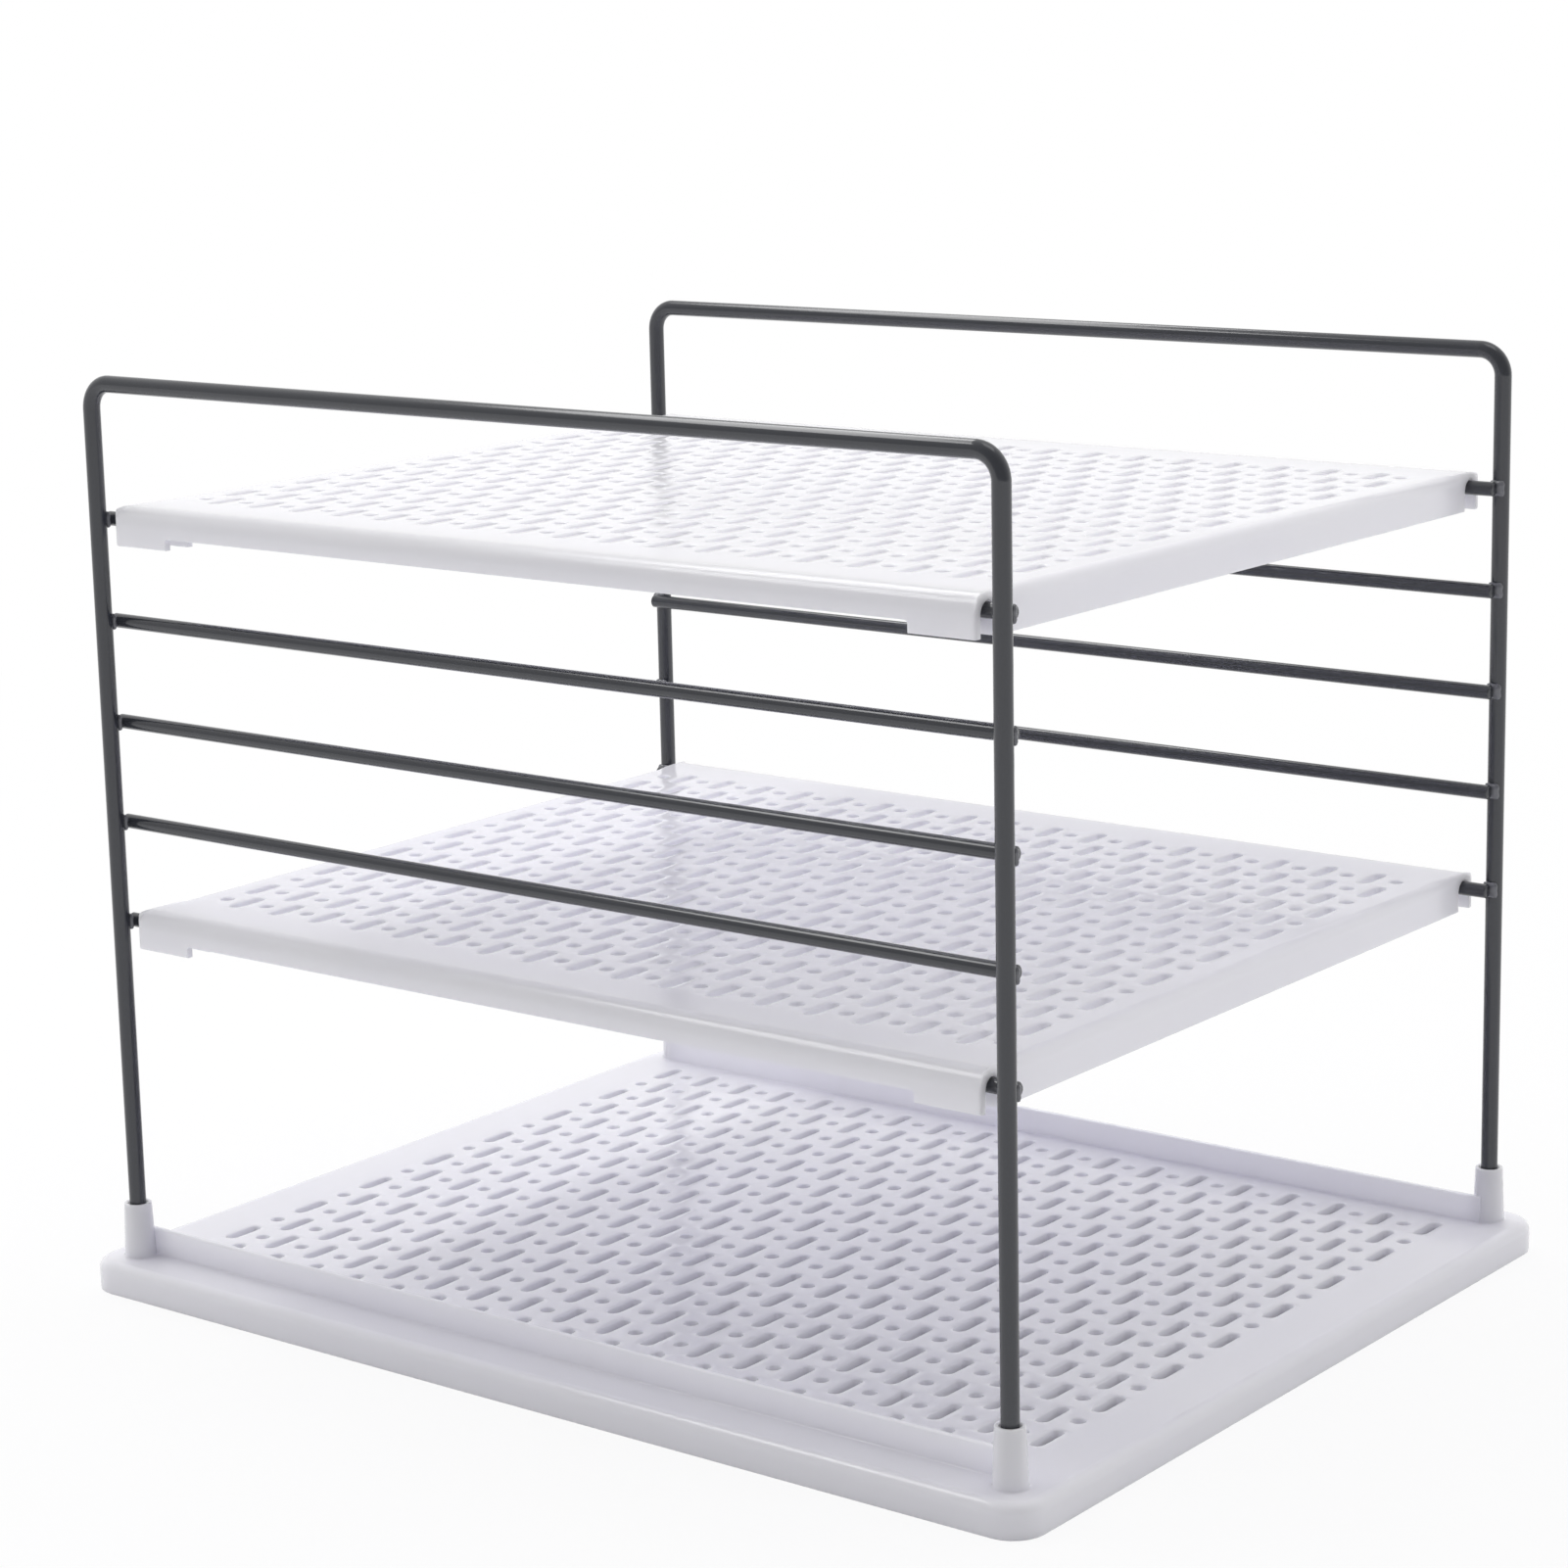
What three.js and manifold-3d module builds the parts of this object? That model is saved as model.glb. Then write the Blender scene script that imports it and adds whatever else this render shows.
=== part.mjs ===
// Three-tier storage shelf: a moulded base tray carries two bent wire side frames,
// and two moulded shelves hang on the crossbars of the frames.
// Millimetres. X runs from the left frame to the right one, Y along each frame, Z up.
// The origin is at the middle of the tray's underside.

import * as THREE from 'three';
import { mergeGeometries, mergeVertices } from 'three/addons/utils/BufferGeometryUtils.js';
import Module from 'manifold-3d';

// Wire frames
const LEG_DIAMETER = 4.0;
const BAR_DIAMETER = 3.4;
const FRAME_SPACING = 205; // between the planes of the two frames
const LEG_SPACING = 255; // between the two legs of one frame
const BEND_RADIUS = 6; // on the axis of the wire
const BAR_COUNT = 5;
const BAR_PITCH = 24.1;
const LOWEST_BAR_RISE = 82.8; // top of the tray's plate to the axis of the lowest bar
const TOP_WIRE_RISE = 32; // axis of the highest bar to the axis of the top wire
const BAR_END_REACH = 0.2; // bar end past the axis of its leg
const WELD_GAP = 0.1; // between the round sides of a bar and its leg

// Base tray
const TRAY_MARGIN = 9.4; // leg axis to the outer edge of the tray
const TRAY_HEIGHT = 7.8;
const TRAY_PLATE = 2.2;
const TRAY_SKIRT = 2.0;
const TRAY_CORNER_RADIUS = 8;
const TRAY_EDGE_RADIUS = 2.5;

// Socket posts and side ribs of the tray
const POST_HEIGHT = 13.3; // above the plate
const POST_FLOOR = 0.8; // solid foot of the post, above the plate
const POST_WALL = 1.0; // around the socket, at the rim
const POST_TAPER = 0.5; // radius gained from the rim to the foot
const POST_RIM_RADIUS = 0.25;
const SOCKET_CLEARANCE = 0.3; // around the leg and under its end
const RIB_THICKNESS = 1.7;
const RIB_HEIGHT = 6.5; // above the plate
const RIB_STEP = 0.25; // inner face of the rib past the foot of the post
const RIB_EDGE_RADIUS = 0.6;

// Shelves
const SHELF_END_GAP = 4.0; // shelf end to the side of the leg
const SHELF_PLATE = 2.0;
const SHELF_EDGE_RADIUS = 2.8;
const SKIRT_THICKNESS = 1.8;
const HANG_CLEARANCE = 0.3; // bar to the roof of the clip's channel
const CHANNEL_CLEARANCE = 1.0; // bar to each side of the channel
const CLIP_WALL = 1.6;
const LIP_DROP = 2.1; // straight lip below the rolled edge
const TAB_DROP = 2.7; // tab below the lip
const TAB_LENGTH = 16.5;

// Slots through the plates, in every other cell of a grid
const SLOT_LENGTH = 10.4; // along X
const SLOT_WIDTH = 3.0;
const COLUMN_PITCH = 11.75;
const ROW_PITCH = 6.6;
const PATTERN_MARGIN = 3.3; // least plain plate around the slots

// Steps of the round forms
const WIRE_SIDES = 12;
const POST_SIDES = 16;
const BEND_STEPS = 6; // a quarter turn of the wire
const ROUND_STEPS = 4; // a quarter turn of an outline
const RIM_STEPS = 2; // a quarter turn of the post's rim

// How far a cutter reaches past the material
const CUT_REACH = 0.5;

// Sizes that follow from the ones above
const LEG_RADIUS = LEG_DIAMETER / 2;
const BAR_RADIUS = BAR_DIAMETER / 2;
const BAR_OFFSET = LEG_RADIUS + BAR_RADIUS + WELD_GAP; // leg axis to bar axis
const BAR_X = FRAME_SPACING / 2 - BAR_OFFSET;
const BAR_LENGTH = LEG_SPACING + 2 * BAR_END_REACH;
const LOWEST_BAR_Z = TRAY_HEIGHT + LOWEST_BAR_RISE;
const TOP_BAR_Z = LOWEST_BAR_Z + (BAR_COUNT - 1) * BAR_PITCH;
const TOP_WIRE_Z = TOP_BAR_Z + TOP_WIRE_RISE;
const TRAY_WIDTH = FRAME_SPACING + 2 * TRAY_MARGIN;
const TRAY_DEPTH = LEG_SPACING + 2 * TRAY_MARGIN;
const SOCKET_RADIUS = LEG_RADIUS + SOCKET_CLEARANCE;
const SOCKET_FLOOR_Z = TRAY_HEIGHT + POST_FLOOR;
const POST_TOP_RADIUS = SOCKET_RADIUS + POST_WALL;
const POST_FOOT_RADIUS = POST_TOP_RADIUS + POST_TAPER;
const POST_TOP_Z = TRAY_HEIGHT + POST_HEIGHT;
const RIB_OFFSET = POST_FOOT_RADIUS + RIB_STEP - RIB_THICKNESS / 2; // leg axis to the middle of the rib

// Sizes of a shelf, with heights counted from the axis of the bar that carries it
const CHANNEL_RADIUS = BAR_RADIUS + CHANNEL_CLEARANCE;
const ROLL_RADIUS = CHANNEL_RADIUS + CLIP_WALL; // outside of the rolled edge
const SHELF_TOP = BAR_RADIUS + HANG_CLEARANCE + CLIP_WALL;
const ROLL_Z = SHELF_TOP - ROLL_RADIUS;
const LIP_Z = ROLL_Z - LIP_DROP;
const TAB_Z = LIP_Z - TAB_DROP;
const SHELF_LENGTH = LEG_SPACING - LEG_DIAMETER - 2 * SHELF_END_GAP;

const WHITE_PLASTIC = { color: 0xf1f0f8, roughness: 0.28, metalness: 0 };
const GREY_COAT = { color: 0x4f5256, roughness: 0.42, metalness: 0.2 };

const wasm = await Module();
wasm.setup();

// A closed geometry as a solid that can be joined and cut.
function solid(geometry) {
  geometry.deleteAttribute('normal');
  geometry.deleteAttribute('uv');
  const welded = mergeVertices(geometry);
  const triangles = [];
  for (let first = 0; first < welded.index.count; first += 3) {
    const [a, b, c] = welded.index.array.slice(first, first + 3);
    if (a !== b && b !== c && c !== a) {
      triangles.push(a, b, c);
    }
  }
  return new wasm.Manifold(new wasm.Mesh({
    numProp: 3,
    vertProperties: welded.attributes.position.array,
    triVerts: new Uint32Array(triangles),
  }));
}

// A joined and cut solid as a geometry.
function geometryOf(body) {
  const { vertProperties, triVerts } = body.getMesh();
  const geometry = new THREE.BufferGeometry();
  geometry.setAttribute('position', new THREE.BufferAttribute(vertProperties, 3));
  geometry.setIndex(new THREE.BufferAttribute(triVerts, 1));
  geometry.computeVertexNormals();
  return geometry;
}

function piece(name, geometry, finish) {
  const mesh = new THREE.Mesh(geometry, new THREE.MeshStandardMaterial(finish));
  mesh.name = name;
  return mesh;
}

// Rectangle with round corners, centred on the origin.
function roundedRectangle(width, depth, radius) {
  const x = width / 2 - radius;
  const y = depth / 2 - radius;
  const shape = new THREE.Shape();
  shape.absarc(x, y, radius, 0, Math.PI / 2);
  shape.absarc(-x, y, radius, Math.PI / 2, Math.PI);
  shape.absarc(-x, -y, radius, Math.PI, 1.5 * Math.PI);
  shape.absarc(x, -y, radius, 1.5 * Math.PI, 2 * Math.PI);
  return shape;
}

// An outline in X and Y raised from z = low to z = high. An arc gets two steps for each curve segment.
function raised(shape, low, high, bevel = { bevelEnabled: false }) {
  const options = { depth: high - low, curveSegments: ROUND_STEPS / 2, ...bevel };
  return new THREE.ExtrudeGeometry(shape, options).translate(0, 0, low);
}

// A section in X and Z drawn out from y = low to y = high.
function drawnAlongY(shape, low, high) {
  return raised(shape, -high, -low).rotateX(Math.PI / 2);
}

// A section in Y and Z drawn out from x = low to x = high.
function drawnAlongX(shape, low, high) {
  return raised(shape, low, high).rotateX(Math.PI / 2).rotateZ(Math.PI / 2);
}

// How many slots of that size fit side by side in a space.
function fitting(space, size, pitch) {
  return Math.floor((space - 2 * PATTERN_MARGIN - size) / pitch) + 1;
}

// Cutters for the slots of a plate between z = low and z = high, centred on the Z axis.
function slotCutters(spaceX, spaceY, low, high) {
  const columns = fitting(spaceX, SLOT_LENGTH, COLUMN_PITCH);
  const rows = fitting(spaceY, SLOT_WIDTH, ROW_PITCH);
  const depth = high - low + 2 * CUT_REACH;
  const cutters = [];
  for (let column = 0; column < columns; column += 1) {
    for (let row = (column + 1) % 2; row < rows; row += 2) {
      const x = (column - (columns - 1) / 2) * COLUMN_PITCH;
      const y = ((rows - 1) / 2 - row) * ROW_PITCH;
      const cutter = new THREE.BoxGeometry(SLOT_LENGTH, SLOT_WIDTH, depth);
      cutters.push(cutter.translate(x, y, (low + high) / 2));
    }
  }
  return mergeGeometries(cutters);
}

// Axis of a frame wire: up the front leg, round the two bends and down the back leg.
// It has a station at each end of a straight run and a few in each bend.
class FrameWireAxis extends THREE.Curve {
  constructor() {
    super();
    const reach = LEG_SPACING / 2;
    const foot = SOCKET_FLOOR_Z + SOCKET_CLEARANCE;
    const bends = [];
    for (const [side, start] of [[-1, Math.PI], [1, Math.PI / 2]]) {
      for (let step = 0; step <= BEND_STEPS; step += 1) {
        const angle = start - (Math.PI / 2) * (step / BEND_STEPS);
        const y = side * (reach - BEND_RADIUS) + BEND_RADIUS * Math.cos(angle);
        const z = TOP_WIRE_Z - BEND_RADIUS + BEND_RADIUS * Math.sin(angle);
        bends.push(new THREE.Vector3(0, y, z));
      }
    }
    this.stations = [new THREE.Vector3(0, -reach, foot), ...bends, new THREE.Vector3(0, reach, foot)];
  }

  get steps() {
    return this.stations.length - 1;
  }

  getPoint(t, target = new THREE.Vector3()) {
    const place = t * this.steps;
    const index = Math.min(Math.floor(place), this.steps - 1);
    return target.lerpVectors(this.stations[index], this.stations[index + 1], place - index);
  }

  // Keeps a ring of the wire at each station.
  getUtoTmapping(u) {
    return u;
  }
}

function frameWire() {
  const section = new THREE.Shape().absarc(0, 0, LEG_RADIUS, 0, 2 * Math.PI);
  const axis = new FrameWireAxis();
  const options = { extrudePath: axis, steps: axis.steps, curveSegments: WIRE_SIDES / 2 };
  return new THREE.ExtrudeGeometry(section, options);
}

// One side frame; inward is the direction along X from its legs to its bars.
function sideFrame(side, inward) {
  const frame = new THREE.Group();
  frame.position.x = -inward * (FRAME_SPACING / 2);
  frame.add(piece(`${side}_frame_wire`, frameWire(), GREY_COAT));
  for (let index = 0; index < BAR_COUNT; index += 1) {
    const bar = new THREE.CylinderGeometry(BAR_RADIUS, BAR_RADIUS, BAR_LENGTH, WIRE_SIDES);
    const mesh = piece(`${side}_bar_${index + 1}`, bar, GREY_COAT);
    mesh.position.set(inward * BAR_OFFSET, 0, TOP_BAR_Z - index * BAR_PITCH);
    frame.add(mesh);
  }
  return frame;
}

// Flat plate with a skirt under its edge, hollow below.
function trayShell() {
  const outline = roundedRectangle(TRAY_WIDTH, TRAY_DEPTH, TRAY_CORNER_RADIUS);
  const softEdge = {
    bevelThickness: TRAY_EDGE_RADIUS,
    bevelSize: TRAY_EDGE_RADIUS,
    bevelOffset: -TRAY_EDGE_RADIUS,
    bevelSegments: ROUND_STEPS,
  };
  const softBlock = raised(outline, -TRAY_EDGE_RADIUS, TRAY_HEIGHT - TRAY_EDGE_RADIUS, softEdge);
  const standing = new THREE.BoxGeometry(2 * TRAY_WIDTH, 2 * TRAY_DEPTH, TRAY_HEIGHT);
  standing.translate(0, 0, TRAY_HEIGHT / 2);
  const inside = roundedRectangle(
    TRAY_WIDTH - 2 * TRAY_SKIRT,
    TRAY_DEPTH - 2 * TRAY_SKIRT,
    TRAY_CORNER_RADIUS - TRAY_SKIRT,
  );
  const hollow = raised(inside, -CUT_REACH, TRAY_HEIGHT - TRAY_PLATE);
  return solid(softBlock).intersect(solid(standing)).subtract(solid(hollow));
}

// Tapered post with a rounded rim, standing on the Z axis, from inside the plate up.
function socketPost() {
  const rim = Math.min(POST_RIM_RADIUS, POST_WALL);
  const profile = [
    new THREE.Vector2(0, TRAY_HEIGHT - TRAY_PLATE),
    new THREE.Vector2(POST_FOOT_RADIUS, TRAY_HEIGHT - TRAY_PLATE),
    new THREE.Vector2(POST_FOOT_RADIUS, TRAY_HEIGHT),
  ];
  for (let step = 0; step <= RIM_STEPS; step += 1) {
    const angle = (Math.PI / 2) * (step / RIM_STEPS);
    const radius = POST_TOP_RADIUS - rim + rim * Math.cos(angle);
    profile.push(new THREE.Vector2(radius, POST_TOP_Z - rim + rim * Math.sin(angle)));
  }
  profile.push(new THREE.Vector2(0, POST_TOP_Z));
  return new THREE.LatheGeometry(profile, POST_SIDES).rotateX(Math.PI / 2);
}

// Bore of a post, standing on the Z axis.
function socketBore() {
  const height = POST_TOP_Z + CUT_REACH - SOCKET_FLOOR_Z;
  const bore = new THREE.CylinderGeometry(SOCKET_RADIUS, SOCKET_RADIUS, height, POST_SIDES);
  return bore.rotateX(Math.PI / 2).translate(0, 0, SOCKET_FLOOR_Z + height / 2);
}

// Low wall between the two posts of one side, with a rounded top, centred on X = 0.
function sideRib() {
  const half = RIB_THICKNESS / 2;
  const round = Math.min(RIB_EDGE_RADIUS, half);
  const top = TRAY_HEIGHT + RIB_HEIGHT;
  const section = new THREE.Shape();
  section.moveTo(-half, TRAY_HEIGHT - TRAY_PLATE);
  section.lineTo(half, TRAY_HEIGHT - TRAY_PLATE);
  section.absarc(half - round, top - round, round, 0, Math.PI / 2);
  section.absarc(round - half, top - round, round, Math.PI / 2, Math.PI);
  return drawnAlongY(section, -LEG_SPACING / 2, LEG_SPACING / 2);
}

function baseTray() {
  let body = trayShell();
  for (const side of [-1, 1]) {
    const x = side * (FRAME_SPACING / 2);
    body = body.add(solid(sideRib().translate(x - side * RIB_OFFSET, 0, 0)));
    for (const y of [-LEG_SPACING / 2, LEG_SPACING / 2]) {
      body = body.add(solid(socketPost().translate(x, y, 0)));
      body = body.subtract(solid(socketBore().translate(x, y, 0)));
    }
  }
  const ribFace = FRAME_SPACING / 2 - POST_FOOT_RADIUS - RIB_STEP;
  const postFace = LEG_SPACING / 2 - POST_FOOT_RADIUS;
  const slots = slotCutters(2 * ribFace, 2 * postFace, TRAY_HEIGHT - TRAY_PLATE, TRAY_HEIGHT);
  return geometryOf(body.subtract(solid(slots)));
}

// Plate and front and back skirts of a shelf, seen from the side, with rounded top edges.
function deckSection() {
  const end = SHELF_LENGTH / 2;
  const edge = SHELF_EDGE_RADIUS;
  const skirt = end - SKIRT_THICKNESS;
  const section = new THREE.Shape();
  section.moveTo(-end, TAB_Z);
  section.lineTo(-skirt, TAB_Z);
  section.lineTo(-skirt, SHELF_TOP - SHELF_PLATE);
  section.lineTo(skirt, SHELF_TOP - SHELF_PLATE);
  section.lineTo(skirt, TAB_Z);
  section.lineTo(end, TAB_Z);
  section.absarc(end - edge, SHELF_TOP - edge, edge, 0, Math.PI / 2);
  section.absarc(edge - end, SHELF_TOP - edge, edge, Math.PI / 2, Math.PI);
  return section;
}

// Upside-down channel that hooks over the bar at x = BAR_X, with its rolled edge outside.
function clipSection(lipZ) {
  const section = new THREE.Shape();
  section.moveTo(BAR_X + CHANNEL_RADIUS, lipZ);
  section.lineTo(BAR_X + ROLL_RADIUS, lipZ);
  section.absarc(BAR_X, ROLL_Z, ROLL_RADIUS, 0, Math.PI / 2);
  section.lineTo(BAR_X - ROLL_RADIUS, SHELF_TOP);
  section.lineTo(BAR_X - ROLL_RADIUS, lipZ);
  section.lineTo(BAR_X - CHANNEL_RADIUS, lipZ);
  section.absarc(BAR_X, ROLL_Z, CHANNEL_RADIUS, Math.PI, 0, true);
  return section;
}

// One shelf, with its heights counted from the axis of its bars.
function shelf() {
  const end = SHELF_LENGTH / 2;
  const deckReach = BAR_X - CHANNEL_RADIUS;
  let body = solid(drawnAlongX(deckSection(), -deckReach, deckReach));
  for (const turn of [0, Math.PI]) {
    const clips = [
      drawnAlongY(clipSection(LIP_Z), -end, end),
      drawnAlongY(clipSection(TAB_Z), -end, TAB_LENGTH - end),
      drawnAlongY(clipSection(TAB_Z), end - TAB_LENGTH, end),
    ];
    for (const clip of clips) {
      body = body.add(solid(clip.rotateZ(turn)));
    }
  }
  const clipFace = BAR_X - ROLL_RADIUS;
  const flatLength = SHELF_LENGTH - 2 * SHELF_EDGE_RADIUS;
  const slots = slotCutters(2 * clipFace, flatLength, SHELF_TOP - SHELF_PLATE, SHELF_TOP);
  return geometryOf(body.subtract(solid(slots)));
}

function hungShelf(name, barZ) {
  const mesh = piece(name, shelf(), WHITE_PLASTIC);
  mesh.position.z = barZ;
  return mesh;
}

const storageShelf = new THREE.Group();
storageShelf.add(piece('base_tray', baseTray(), WHITE_PLASTIC));
storageShelf.add(sideFrame('left', 1));
storageShelf.add(sideFrame('right', -1));
storageShelf.add(hungShelf('top_shelf', TOP_BAR_Z));
storageShelf.add(hungShelf('middle_shelf', LOWEST_BAR_Z));

export default storageShelf;
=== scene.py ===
"""Looks of a three-tier storage shelf: perforated white mouldings between two dark wire frames.

Metres, in the frame of the solid model: +X from the left wire frame to the right one, -Y to the
front and +Z up, with the origin at the middle of the base tray's underside.
"""

import logging
import math
from collections.abc import Callable, Sequence
from dataclasses import dataclass, field
from enum import Enum

import bmesh
import bpy
from bmesh.types import BMesh
from bpy.types import Material, Mesh, Node, NodeSocket, NodeTree, Object, World
from mathutils import Matrix, Vector


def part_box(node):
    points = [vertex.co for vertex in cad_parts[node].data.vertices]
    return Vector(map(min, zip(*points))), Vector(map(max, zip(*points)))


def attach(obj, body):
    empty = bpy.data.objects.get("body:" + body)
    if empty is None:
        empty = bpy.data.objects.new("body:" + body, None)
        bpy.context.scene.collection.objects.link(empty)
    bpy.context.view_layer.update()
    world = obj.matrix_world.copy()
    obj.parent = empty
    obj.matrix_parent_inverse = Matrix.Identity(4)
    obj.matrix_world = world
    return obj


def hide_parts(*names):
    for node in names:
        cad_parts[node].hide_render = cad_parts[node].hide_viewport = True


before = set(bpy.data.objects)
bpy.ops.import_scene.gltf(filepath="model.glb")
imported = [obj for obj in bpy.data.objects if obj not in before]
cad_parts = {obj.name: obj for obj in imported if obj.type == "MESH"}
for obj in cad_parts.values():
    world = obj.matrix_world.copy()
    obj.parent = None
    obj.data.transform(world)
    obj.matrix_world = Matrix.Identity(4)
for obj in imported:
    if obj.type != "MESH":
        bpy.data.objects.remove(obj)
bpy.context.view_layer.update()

MM = 0.001
STAND_BODY = "stand"
MERGE_DISTANCE = 0.004 * MM  # points of one moulding that are closer than this are one point
HARD_EDGE_ANGLE = math.radians(50)  # a sharper edge shows as a crease
WALL_FACING = 0.9  # least share of a window wall's normal that points across the window
WHITE = (1.0, 1.0, 1.0, 1.0)
RAMP_ENDS = ("From Min", "From Max")
Point = tuple[float, float]  # in a flat section
Place = tuple[float, float, float]
Inputs = dict[str | int, object]  # what goes into a node
LOG = logging.getLogger("storage_shelf")


class Side(Enum):
    """The two wire frames, by the side of the shelf that they stand on."""

    LEFT = "left"
    RIGHT = "right"


class Tier(Enum):
    """The shelves that hang on the frames. The value is the name of the node and of its body."""

    TOP = "top_shelf"
    MIDDLE = "middle_shelf"


class Opening(Enum):
    """The two kinds of hole that alternate in a plate."""

    SLOT = "slot"
    ROUND = "round hole"


class Shaping(Enum):
    """What a form does to the blank that it meets."""

    JOIN = "UNION"
    CUT = "DIFFERENCE"


def linear(hex_tone: str) -> tuple[float, float, float, float]:
    """Turns an sRGB tone into the linear colour that a shader takes.

    Args:
        hex_tone: The tone, such as "#F4F3FD".

    Returns:
        Linear red, green and blue, and an alpha of 1.
    """
    channels = [int(hex_tone[start : start + 2], 16) / 255 for start in (1, 3, 5)]
    lit = [c / 12.92 if c <= 0.04045 else ((c + 0.055) / 1.055) ** 2.4 for c in channels]
    return (*lit, 1.0)


def add(tree: NodeTree, kind: str, inputs: Inputs | None = None, **settings: object) -> Node:
    """Adds one node to a tree.

    Args:
        tree: The tree that gets the node.
        kind: The type name of the node.
        inputs: For an input's name or number, its value or what feeds it: a socket, a node by
            its first output in use, or a list of these.
        **settings: Values of the node's own properties.

    Returns:
        The new node.
    """
    node = tree.nodes.new(kind)
    for name, value in settings.items():
        setattr(node, name, value)
    for key, value in (inputs or {}).items():
        for source in value if isinstance(value, list) else [value]:
            if isinstance(source, Node):
                source = next(output for output in source.outputs if output.enabled)
            if isinstance(source, NodeSocket):
                tree.links.new(source, node.inputs[key])
            else:
                node.inputs[key].default_value = source
    return node


def blank_tree(owner: Material | World) -> NodeTree:
    """Empties the shader tree of a material or of the world and returns the tree."""
    owner.use_nodes = True
    owner.node_tree.nodes.clear()
    return owner.node_tree


def linked(name: str, mesh: Mesh) -> Object:
    """Puts a mesh into the scene as an object at the origin and returns the object."""
    made = bpy.data.objects.new(name, mesh)
    bpy.context.scene.collection.objects.link(made)
    return made


def settled(host: Object) -> Mesh:
    """Turns an object with its modifiers into one plain mesh and takes the object away.

    Args:
        host: The object, which is gone afterwards.

    Returns:
        The mesh that the modifiers gave.
    """
    depsgraph = bpy.context.evaluated_depsgraph_get()
    result = bpy.data.meshes.new_from_object(host.evaluated_get(depsgraph))
    before = host.data
    host.modifiers.clear()
    bpy.data.objects.remove(host)
    bpy.data.meshes.remove(before)
    return result


def meshed(shell: BMesh, name: str) -> Mesh:
    """Closes the seams of a shell and turns it into a mesh.

    Args:
        shell: The shell, which is freed.
        name: Name of the mesh.

    Returns:
        The mesh.
    """
    bmesh.ops.remove_doubles(shell, verts=shell.verts, dist=MERGE_DISTANCE)
    mesh = bpy.data.meshes.new(name)
    shell.to_mesh(mesh)
    shell.free()
    return mesh


def evenly_shaded(mesh: Mesh) -> Mesh:
    """Shades a mesh smooth, with its flat faces flat up to the rounds and its creases sharp.

    Args:
        mesh: The mesh, which is used up.

    Returns:
        The same mesh with the normals set.
    """
    shell = bmesh.new()
    shell.from_mesh(mesh)
    bmesh.ops.remove_doubles(shell, verts=shell.verts, dist=MERGE_DISTANCE)
    for face in shell.faces:
        face.smooth = True
    for edge in shell.edges:
        edge.smooth = edge.calc_face_angle(math.pi) < HARD_EDGE_ANGLE
    shell.to_mesh(mesh)
    shell.free()
    host = linked("shading", mesh)
    weighted = host.modifiers.new("flat_faces_lead", "WEIGHTED_NORMAL")
    weighted.keep_sharp = True
    return settled(host)


def shaped(blank: Mesh, shaping: Shaping, forms: Sequence[Mesh]) -> Mesh:
    """Joins closed forms to a closed blank, or cuts them out of it.

    Args:
        blank: The blank, which is used up.
        shaping: What the forms do to it.
        forms: The forms in order, which are used up.

    Returns:
        The blank after all the forms.
    """
    host = linked("blank", blank)
    others = [linked(form.name, form) for form in forms]
    for other in others:
        step = host.modifiers.new(other.name, "BOOLEAN")
        step.operation = shaping.value
        step.solver = "MANIFOLD"
        step.object = other
    result = settled(host)
    for other in others:
        bpy.data.objects.remove(other)
    for form in forms:
        bpy.data.meshes.remove(form)
    return result


def loft(shell: BMesh, rings: Sequence[Sequence[Vector]], looped: bool = False) -> None:
    """Joins closed rings of points by faces.

    The faces point outwards where a ring runs counter-clockwise, seen from above, and the rings
    climb on the outside of the form.

    Args:
        shell: The shell that gets the faces.
        rings: The rings in order, all with the same number of points.
        looped: Whether the last ring joins the first one.
    """
    rows = [[shell.verts.new(point) for point in ring] for ring in rings]
    if looped:
        rows.append(rows[0])
    for lower, upper in zip(rows, rows[1:]):
        for i in range(len(lower)):
            shell.faces.new((lower[i - 1], lower[i], upper[i], upper[i - 1]))


def turned(shell: BMesh, profile: Sequence[Point], centre: Vector, steps: int) -> None:
    """Turns a profile round an upright axis.

    Args:
        shell: The shell that gets the faces.
        profile: Radius and height of each point, from the lower pole up the outside.
        centre: Place of the axis and of height zero.
        steps: Number of faces round the axis.
    """
    turns = [math.tau * step / steps for step in range(steps)]
    rings = [
        [centre + Vector((radius * math.cos(a), radius * math.sin(a), height)) for a in turns]
        for radius, height in profile
    ]
    loft(shell, rings)


def arc(centre: Point, radius: float, start: float, end: float, steps: int) -> list[Point]:
    """Returns points of a circular arc, both ends included, with its angles in degrees."""
    angles = [math.radians(start + (end - start) * step / steps) for step in range(steps + 1)]
    return [(centre[0] + radius * math.cos(a), centre[1] + radius * math.sin(a)) for a in angles]


def prism(shell: BMesh, outline: Sequence[Vector], along: Vector) -> None:
    """Draws an outline out to a closed bar.

    Args:
        shell: The shell that gets the faces.
        outline: Points of the flat outline, counter-clockwise seen from the far end.
        along: Way from the outline to its copy at the far end.
    """
    near = [shell.verts.new(point) for point in outline]
    far = [shell.verts.new(point + along) for point in outline]
    shell.faces.new(near[::-1])
    shell.faces.new(far)
    for i in range(len(near)):
        shell.faces.new((near[i - 1], near[i], far[i], far[i - 1]))


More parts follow.
